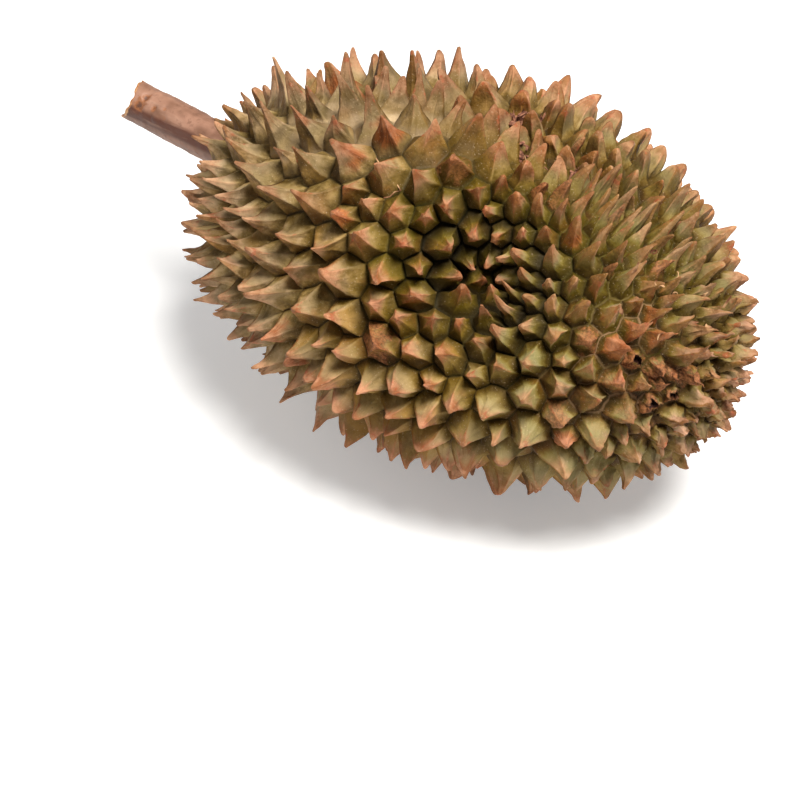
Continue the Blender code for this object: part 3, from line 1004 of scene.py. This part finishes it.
class Graph:
    """Short names for a material's nodes, which take numbers, colours and other nodes' outputs.

    Coats of colour are laid one over another, and colour is what they come to so far.
    """

    def __init__(self, name):
        self.material = bpy.data.materials.new(name)
        self.material.use_nodes = True
        self.tree = self.material.node_tree
        self.shader = self.tree.nodes["Principled BSDF"]
        self.colour = None

    def feed(self, node, inputs):
        """Gives the node's inputs those values."""
        for key, value in inputs.items():
            if isinstance(value, bpy.types.NodeSocket):
                self.tree.links.new(value, node.inputs[key])
            else:
                node.inputs[key].default_value = value

    def node(self, kind, inputs, **settings):
        """The outputs of a new node of that kind, with those settings and inputs."""
        node = self.tree.nodes.new("ShaderNode" + kind)
        for name, value in settings.items():
            setattr(node, name, value)
        self.feed(node, inputs)
        return node.outputs

    def add(self, one, other):
        return self.node("Math", {0: one, 1: other}, operation="ADD")[0]

    def times(self, one, other):
        return self.node("Math", {0: one, 1: other}, operation="MULTIPLY")[0]

    def astray(self, noise, amount):
        """How far the noise is from its middle, times the amount."""
        return self.times(self.add(noise, -0.5), amount)

    def step(self, value, low, high):
        """0 below low, 1 above high, smooth between."""
        inputs = {"Value": value, "From Min": low, "From Max": high}
        return self.node("MapRange", inputs, interpolation_type="SMOOTHSTEP")["Result"]

    def mix(self, share, one, other, blend="MIX"):
        return self.node("Mix", {0: share, 6: one, 7: other}, data_type="RGBA", blend_type=blend)[2]

    def either(self, share, one, other):
        """One colour or the other, as far as the share goes, both given as 0-255 values."""
        return self.mix(share, srgb(*one), srgb(*other))

    def coat(self, share, colour, amount=None):
        """Lays the colour over what is there, as far as the share goes, times the amount."""
        if amount is not None:
            share = self.times(share, amount)
        if isinstance(colour, tuple):
            colour = srgb(*colour)
        self.colour = self.mix(share, self.colour, colour)

    def stain(self, share, colour):
        """Multiplies what is there by the colour, as far as the share goes."""
        self.colour = self.mix(share, self.colour, (*colour, 1.0), "MULTIPLY")

    def attribute(self, name, output="Fac"):
        return self.node("Attribute", {}, attribute_name=name)[output]

    def place(self):
        return self.node("TexCoord", {})["Object"]

    def noise(self, vector, scale, detail=3.0, roughness=0.55):
        inputs = {"Vector": vector, "Scale": scale, "Detail": detail, "Roughness": roughness}
        return self.node("TexNoise", inputs)["Fac"]

    def stretched(self, vector, *scale):
        return self.node("Mapping", {"Vector": vector, "Scale": scale})["Vector"]

    def bump(self, height, distance, strength, **under):
        """The normals of that height, over those of a bump under it where Normal is given."""
        inputs = {"Height": height, "Distance": distance, "Strength": strength, **under}
        return self.node("Bump", inputs)["Normal"]

    def finish(self, roughness, specular, **normal):
        """The material, with the coats as they are."""
        inputs = {"Base Color": self.colour, "Roughness": roughness, "Specular IOR Level": specular, **normal}
        self.feed(self.shader, inputs)
        return self.material


def husk_material():
    """Tan and olive spines with salmon tips and ridges, rusty faces and brown scabs, and painted light and
    shade:
    lighter and darker sides, and shade low on the spines, over some patches, in the creases and deep in the
    dimple.
    """
    g = Graph("husk")
    place = g.place()
    labels = ("rise", "ridge", "tone", "green", "pale", "sage", "light_facing", "pit")
    rise, ridge, tone, green, pale, sage, light_facing, pit = map(g.attribute, labels)
    fibre = g.noise(g.attribute("grain", "Vector"), 3.0, 5.0, 0.62)
    cloud = g.noise(place, 45.0, 3.0)
    blotch = g.noise(place, 150.0, 4.0, 0.6)
    grit = g.noise(place, 900.0, 3.0, 0.7)
    level = g.add(rise, g.astray(blotch, 0.50))  # how high up its spine a place is, with blotchy limits

    # the skin, from a spine's foot up
    foot = g.either(g.step(tone, 0.1, 0.9), (90, 64, 6), (108, 80, 18))
    flank = g.either(g.step(tone, 0.9, 0.1), (127, 93, 27), (151, 113, 49))
    g.colour = g.mix(g.step(level, 0.0, 0.40), foot, flank)
    g.coat(g.step(level, 0.40, 0.75), (150, 118, 74), 0.6)

    # sand towards the stem, painted light on the sides that face the painted light's way, and the sage and
    # green regions
    sand = g.either(g.step(blotch, 0.36, 0.64), (118, 97, 66), (204, 174, 136))
    g.coat(g.times(pale, g.step(cloud, 0.22, 0.62)), sand)
    # painted light on the sides that face the painted light's way
    painted_light_share = g.times(g.step(light_facing, 0.0, 1.0), g.step(level, 0.05, 0.3))
    painted_light_colour = g.either(g.step(cloud, 0.3, 0.7), (134, 120, 84), (196, 168, 128))
    g.coat(g.times(painted_light_share, g.add(0.55, g.times(sage, 0.25))), painted_light_colour)
    sage_colour = g.either(tone, (116, 113, 64), (152, 146, 98))
    g.coat(g.times(g.times(sage, 0.7), g.step(level, 0.05, 0.35)), sage_colour)
    g.coat(g.times(green, g.step(level, 0.55, 0.05)), (104, 92, 2), 0.80)

    # smudges, warm patches and rusty faces
    g.coat(g.step(g.noise(place, 85.0, 2.0), 0.50, 0.68), (88, 70, 44), 0.50)
    g.coat(g.step(g.noise(place, 62.0, 3.0), 0.54, 0.70), (160, 102, 62), 0.30)
    rust_share = g.add(g.times(g.attribute("rust"), 0.32), g.times(tone, 0.04))
    rust_edge = g.add(g.add(cloud, rust_share), g.times(fibre, 0.2))
    rust_colour = g.either(g.step(fibre, 0.38, 0.62), (186, 104, 54), (138, 66, 26))
    g.coat(g.times(g.step(rust_edge, 0.76, 0.92), g.step(level, 0.10, 0.35)), rust_colour, 0.80)

    # the salmon blush of the tips and ridges, and the blossom end's dried skin
    reach = g.add(g.add(level, g.times(ridge, 0.18)), g.astray(cloud, 0.9))
    reach = g.add(reach, g.times(green, 0.12))
    weaker = g.add(g.times(pale, -0.28), g.times(sage, -0.30))
    blush_colour = g.either(g.step(blotch, 0.40, 0.62), (144, 74, 38), (190, 128, 96))
    g.coat(g.times(g.step(reach, 0.48, 0.95), g.add(0.80, weaker)), blush_colour)
    dried = g.times(g.times(g.attribute("ragged"), g.step(level, 0.15, 0.60)), g.step(cloud, 0.30, 0.60))
    g.coat(dried, g.either(g.step(blotch, 0.38, 0.62), (104, 62, 40), (190, 148, 122)), 0.75)

    # painted shade: on the sides that face away from the painted light, low on the spines, and over some
    # patches
    shaded = g.times(g.step(light_facing, 0.3, -0.7), g.add(0.9, g.times(pit, -0.5)))
    g.stain(shaded, (0.59, 0.49, 0.19))
    # painted shade low on the spines in the sage regions
    g.stain(g.times(sage, g.step(level, 0.34, 0.04)), (0.58, 0.52, 0.20))
    # painted shade over those patches
    g.stain(g.attribute("shade_patch"), (0.64, 0.63, 0.59))
    # painted shade low on every spine, dark and saturated towards the creases
    g.stain(g.times(g.step(level, 0.50, 0.0), 0.7), (0.66, 0.62, 0.12))

    # red dashes, brown tips, streaks, specks and dust
    dash = g.step(g.noise(place, 240.0, 2.0), 0.60, 0.67)
    g.coat(g.times(dash, g.step(g.add(rise, g.times(ridge, 0.4)), 0.60, 0.95)), (158, 72, 44), 0.50)
    g.coat(g.times(g.step(rise, 0.90, 1.0), g.step(tone, 0.3, 0.7)), (128, 84, 52))
    g.coat(g.step(fibre, 0.50, 0.75), (80, 56, 26), 0.25)
    g.coat(g.step(grit, 0.64, 0.74), (66, 42, 22), 0.60)
    g.coat(g.step(g.noise(place, 1300.0, 2.0), 0.62, 0.74), (186, 162, 130), 0.40)

    # scabs, the insides of broken spines, and the creases, with painted shade in the creases and deep in the
    # dimple
    scab = g.times(g.attribute("hurt"), g.step(g.add(blotch, g.times(rise, 0.30)), 0.46, 0.64))
    g.coat(scab, g.either(g.step(grit, 0.35, 0.65), (84, 44, 22), (160, 100, 60)), 0.85)
    g.coat(g.times(g.attribute("hollow"), g.step(rise, 0.45, 0.70)), (44, 18, 10))
    # the creases: dark with painted shade, but yellow-green in the green regions and pale where the net
    # stands up, their own colours
    crease_colour = g.either(green, (40, 26, 4), (84, 76, 8))
    net = g.times(g.attribute("net"), g.step(cloud, 0.36, 0.56))
    crease_colour = g.mix(g.times(net, 0.85), crease_colour, srgb(164, 126, 92))
    g.coat(g.step(rise, 0.045, 0.0), crease_colour, 0.70)
    # painted shade, nearly black, deep in the dimple
    g.coat(g.times(pit, g.step(rise, 0.24, 0.0)), (24, 14, 2))
    g.coat(g.times(g.attribute("cream"), g.step(level, 0.30, 0.02)), (196, 168, 130))

    normal = g.bump(g.add(g.times(fibre, 0.7), g.times(blotch, 0.6)), 0.0009, 0.7)
    normal = g.bump(g.add(grit, g.times(scab, 0.7)), 0.0005, 0.8, Normal=normal)
    return g.finish(g.add(0.54, g.times(blotch, 0.22)), 0.22, Normal=normal)


def stem_material():
    """Pinkish brown bark, mottled and finely wrinkled, a band of painted shade along one side, and pale torn
    wood on the cut end.
    """
    g = Graph("stem")
    place = g.place()
    cloud = g.noise(place, 70.0, 3.0)
    mottle = g.noise(place, 320.0, 4.0, 0.6)
    grit = g.noise(place, 1400.0, 2.0)
    wrinkles = g.noise(g.stretched(place, 60.0, 420.0, 420.0), 1.0, 4.0, 0.6)
    bands = g.noise(g.stretched(place, 9.0, 130.0, 130.0), 1.0, 2.0)
    g.colour = g.either(g.step(cloud, 0.3, 0.7), (112, 76, 56), (158, 116, 94))
    g.coat(g.step(bands, 0.50, 0.66), (84, 52, 38), 0.30)
    # painted shade: a dark band along one side of the stem
    g.coat(g.step(g.add(g.attribute("painted_shade"), g.astray(cloud, 0.5)), 0.25, 0.80), (74, 36, 22), 0.90)
    g.coat(g.step(mottle, 0.52, 0.72), (88, 54, 38), 0.55)
    g.coat(g.step(wrinkles, 0.5, 0.75), (178, 142, 120), 0.25)
    worn = g.add(g.attribute("worn"), g.astray(mottle, 1.3))
    wound = g.either(g.step(worn, 0.45, 0.80), (146, 88, 46), (78, 46, 30))
    g.coat(g.step(worn, 0.20, 0.60), wound, 0.85)
    wood = g.either(g.step(mottle, 0.35, 0.7), (142, 84, 46), (190, 144, 98))
    g.coat(g.step(g.add(g.attribute("cut"), g.astray(mottle, 0.9)), 0.35, 0.60), wood)
    normal = g.bump(g.add(g.times(wrinkles, 0.8), g.times(mottle, 0.5)), 0.0006, 0.6)
    normal = g.bump(grit, 0.0002, 0.5, Normal=normal)
    return g.finish(g.add(0.46, g.times(mottle, 0.2)), 0.42, Normal=normal)


def crumb_material():
    """Dark reddish brown crumbs."""
    g = Graph("crumbs")
    place = g.place()
    g.colour = g.either(g.step(g.noise(place, 500.0, 3.0), 0.35, 0.65), (84, 50, 38), (158, 108, 84))
    return g.finish(0.85, 0.2, Normal=g.bump(g.noise(place, 1500.0), 0.0003, 0.6))


def scrap_material():
    """Dry skin, from tan to dark brown."""
    g = Graph("scraps")
    place = g.place()
    g.colour = g.either(g.step(g.noise(place, 130.0, 3.0), 0.40, 0.60), (104, 62, 40), (184, 144, 104))
    return g.finish(0.75, 0.2, Normal=g.bump(g.noise(place, 900.0), 0.0003, 0.6))


def floor_material():
    """A pale matt floor, very slightly uneven, with a faint light of its own."""
    g = Graph("floor")
    g.shader.inputs["Emission Color"].default_value = (1.0, 1.0, 1.0, 1.0)
    g.shader.inputs["Emission Strength"].default_value = FLOOR_GLOW
    g.colour = g.either(g.noise(g.place(), 3.0, 2.0), (238, 238, 238), (243, 243, 243))
    return g.finish(0.9, 0.1)


# ======================================================================== floor, lights and camera


def plane(name, size):
    """A flat square floor, as a grid."""
    mesh = bmesh.new()
    bmesh.ops.create_grid(mesh, x_segments=8, y_segments=8, size=size / 2)
    return object_of(name, mesh)


def aimed(name, data, place, target):
    """An object of that light or camera, at the place and turned to the target."""
    obj = link(name, data)
    obj.location = place
    obj.rotation_mode = "QUATERNION"
    obj.rotation_quaternion = (target - obj.location).to_track_quat("-Z", "Y")
    return obj


def area_light(name, middle, place, size, energy, colour):
    """A round light at that place from the middle, turned to the middle."""
    light = bpy.data.lights.new(name, "AREA")
    light.shape = "DISK"
    light.size = size
    light.energy = energy
    light.color = colour
    aimed(name, light, middle + Vector(place), middle)


def camera(middle):
    """Looks down on the fruit from its right, with the fruit up and right of the picture's middle."""
    turn, lift = math.radians(CAMERA_AZIMUTH), math.radians(CAMERA_ELEVATION)
    back = Vector((math.sin(turn) * math.cos(lift), -math.cos(turn) * math.cos(lift), math.sin(lift)))
    right = Vector((math.cos(turn), math.sin(turn), 0.0))
    data = bpy.data.cameras.new("camera")
    data.lens = CAMERA_LENS
    target = middle - right * AIM_LEFT - back.cross(right) * AIM_BELOW
    bpy.context.scene.camera = aimed("camera", data, middle + back * CAMERA_DISTANCE, target)


def studio(middle):
    """An even surround, a broad soft key from above on the right, and a weak fill from the left."""
    world = bpy.data.worlds.new("studio")
    bpy.context.scene.world = world
    world.use_nodes = True
    background = world.node_tree.nodes["Background"]
    background.inputs["Color"].default_value = (1.0, 1.0, 1.0, 1.0)
    background.inputs["Strength"].default_value = SURROUND
    area_light("key", middle, *KEY)
    area_light("fill", middle, *FILL)
    bpy.context.scene.view_settings.view_transform = "Standard"


# ======================================================================== putting it together

plan = husk_plan()
husk_low, husk_high = (Vector(corner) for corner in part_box("husk"))
tips = plan["tips"]
shift = np.array(
    [
        husk_high.x - tips[:, 0].max(),
        husk_high.y - tips[:, 1].max(),
        -(tips[:, 2].min() + TIP_WEAR),
    ]
)
middle = Vector(shift) + Vector(BODY_MIDDLE)

rind = husk_material()
for husk in husk_pieces(plan, shift):
    husk.data.materials.append(rind)
    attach(husk, "root")
    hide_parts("husk")

stem = stem_piece(plan, shift)
stem.data.materials.append(stem_material())
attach(stem, "root")
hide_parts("stem")

crumbs = crumb_piece(plan, shift)
crumbs.data.materials.append(crumb_material())
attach(crumbs, "root")

scraps = scrap_piece(plan, shift)
scraps.data.materials.append(scrap_material())
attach(scraps, "root")

floor = plane("floor", FLOOR_SIZE)
floor.location.z = CAD_BOX[0].z
floor.data.materials.append(floor_material())

studio(middle)
camera(middle)
